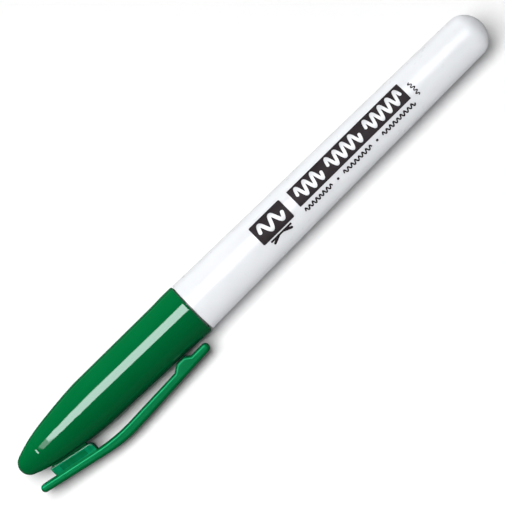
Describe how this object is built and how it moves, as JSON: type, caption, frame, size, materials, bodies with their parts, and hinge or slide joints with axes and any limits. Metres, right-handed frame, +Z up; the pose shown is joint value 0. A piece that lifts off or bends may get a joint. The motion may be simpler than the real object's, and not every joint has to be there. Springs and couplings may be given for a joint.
{
  "type": "whiteboard marker",
  "caption": "Slim whiteboard marker with a bullet nib: a tapered barrel with a domed tail and a push-on cap with a flexing pocket clip.",
  "frame": {"origin": "on the ground under the middle of the capped marker's box, lying on its side", "axes": "+X along the marker from the cap's tip to the tail, +Z up; the clip points to -Y and down, and its edge rests on the ground"},
  "size_m": [0.1362, 0.0164, 0.0125],
  "materials": {
    "barrel_plastic": "semi-gloss white moulded plastic",
    "front_plastic": "satin white moulded plastic",
    "nib_felt": "bonded felt, soaked with green ink",
    "reservoir_fibre": "bundled fibre, soaked with green ink",
    "film": "thin clear film",
    "seal_plastic": "natural soft plastic",
    "cap_plastic": "glossy green moulded plastic"
  },
  "bodies": {
    "barrel": {"barrel": "barrel_plastic", "front_section": "front_plastic", "nib": "nib_felt", "reservoir_core": "reservoir_fibre", "reservoir_wrap": "film"},
    "cap_seal": {"cap_inner_seal": "seal_plastic"},
    "cap": {"cap_shell": "cap_plastic"},
    "clip": {"clip": "cap_plastic"}
  },
  "joints": [
    {"name": "cap_pull", "type": "slide", "parent": "barrel", "child": "cap_seal", "axis": [-1, 0, 0], "range_m": [0, 0.06]},
    {"name": "cap_turn", "type": "hinge", "parent": "cap_seal", "child": "cap", "pos_m": [-0.0181, 0.00188, 0.00626], "axis": [1, 0, 0], "continuous": true},
    {"name": "clip_flex", "type": "hinge", "parent": "cap", "child": "clip", "pos_m": [-0.0528, -0.00656, 0.00227], "axis": [0, 0.4269, -0.9043], "range_deg": [0, 4], "stiffness_Nm_per_rad": 0.6}
  ]
}
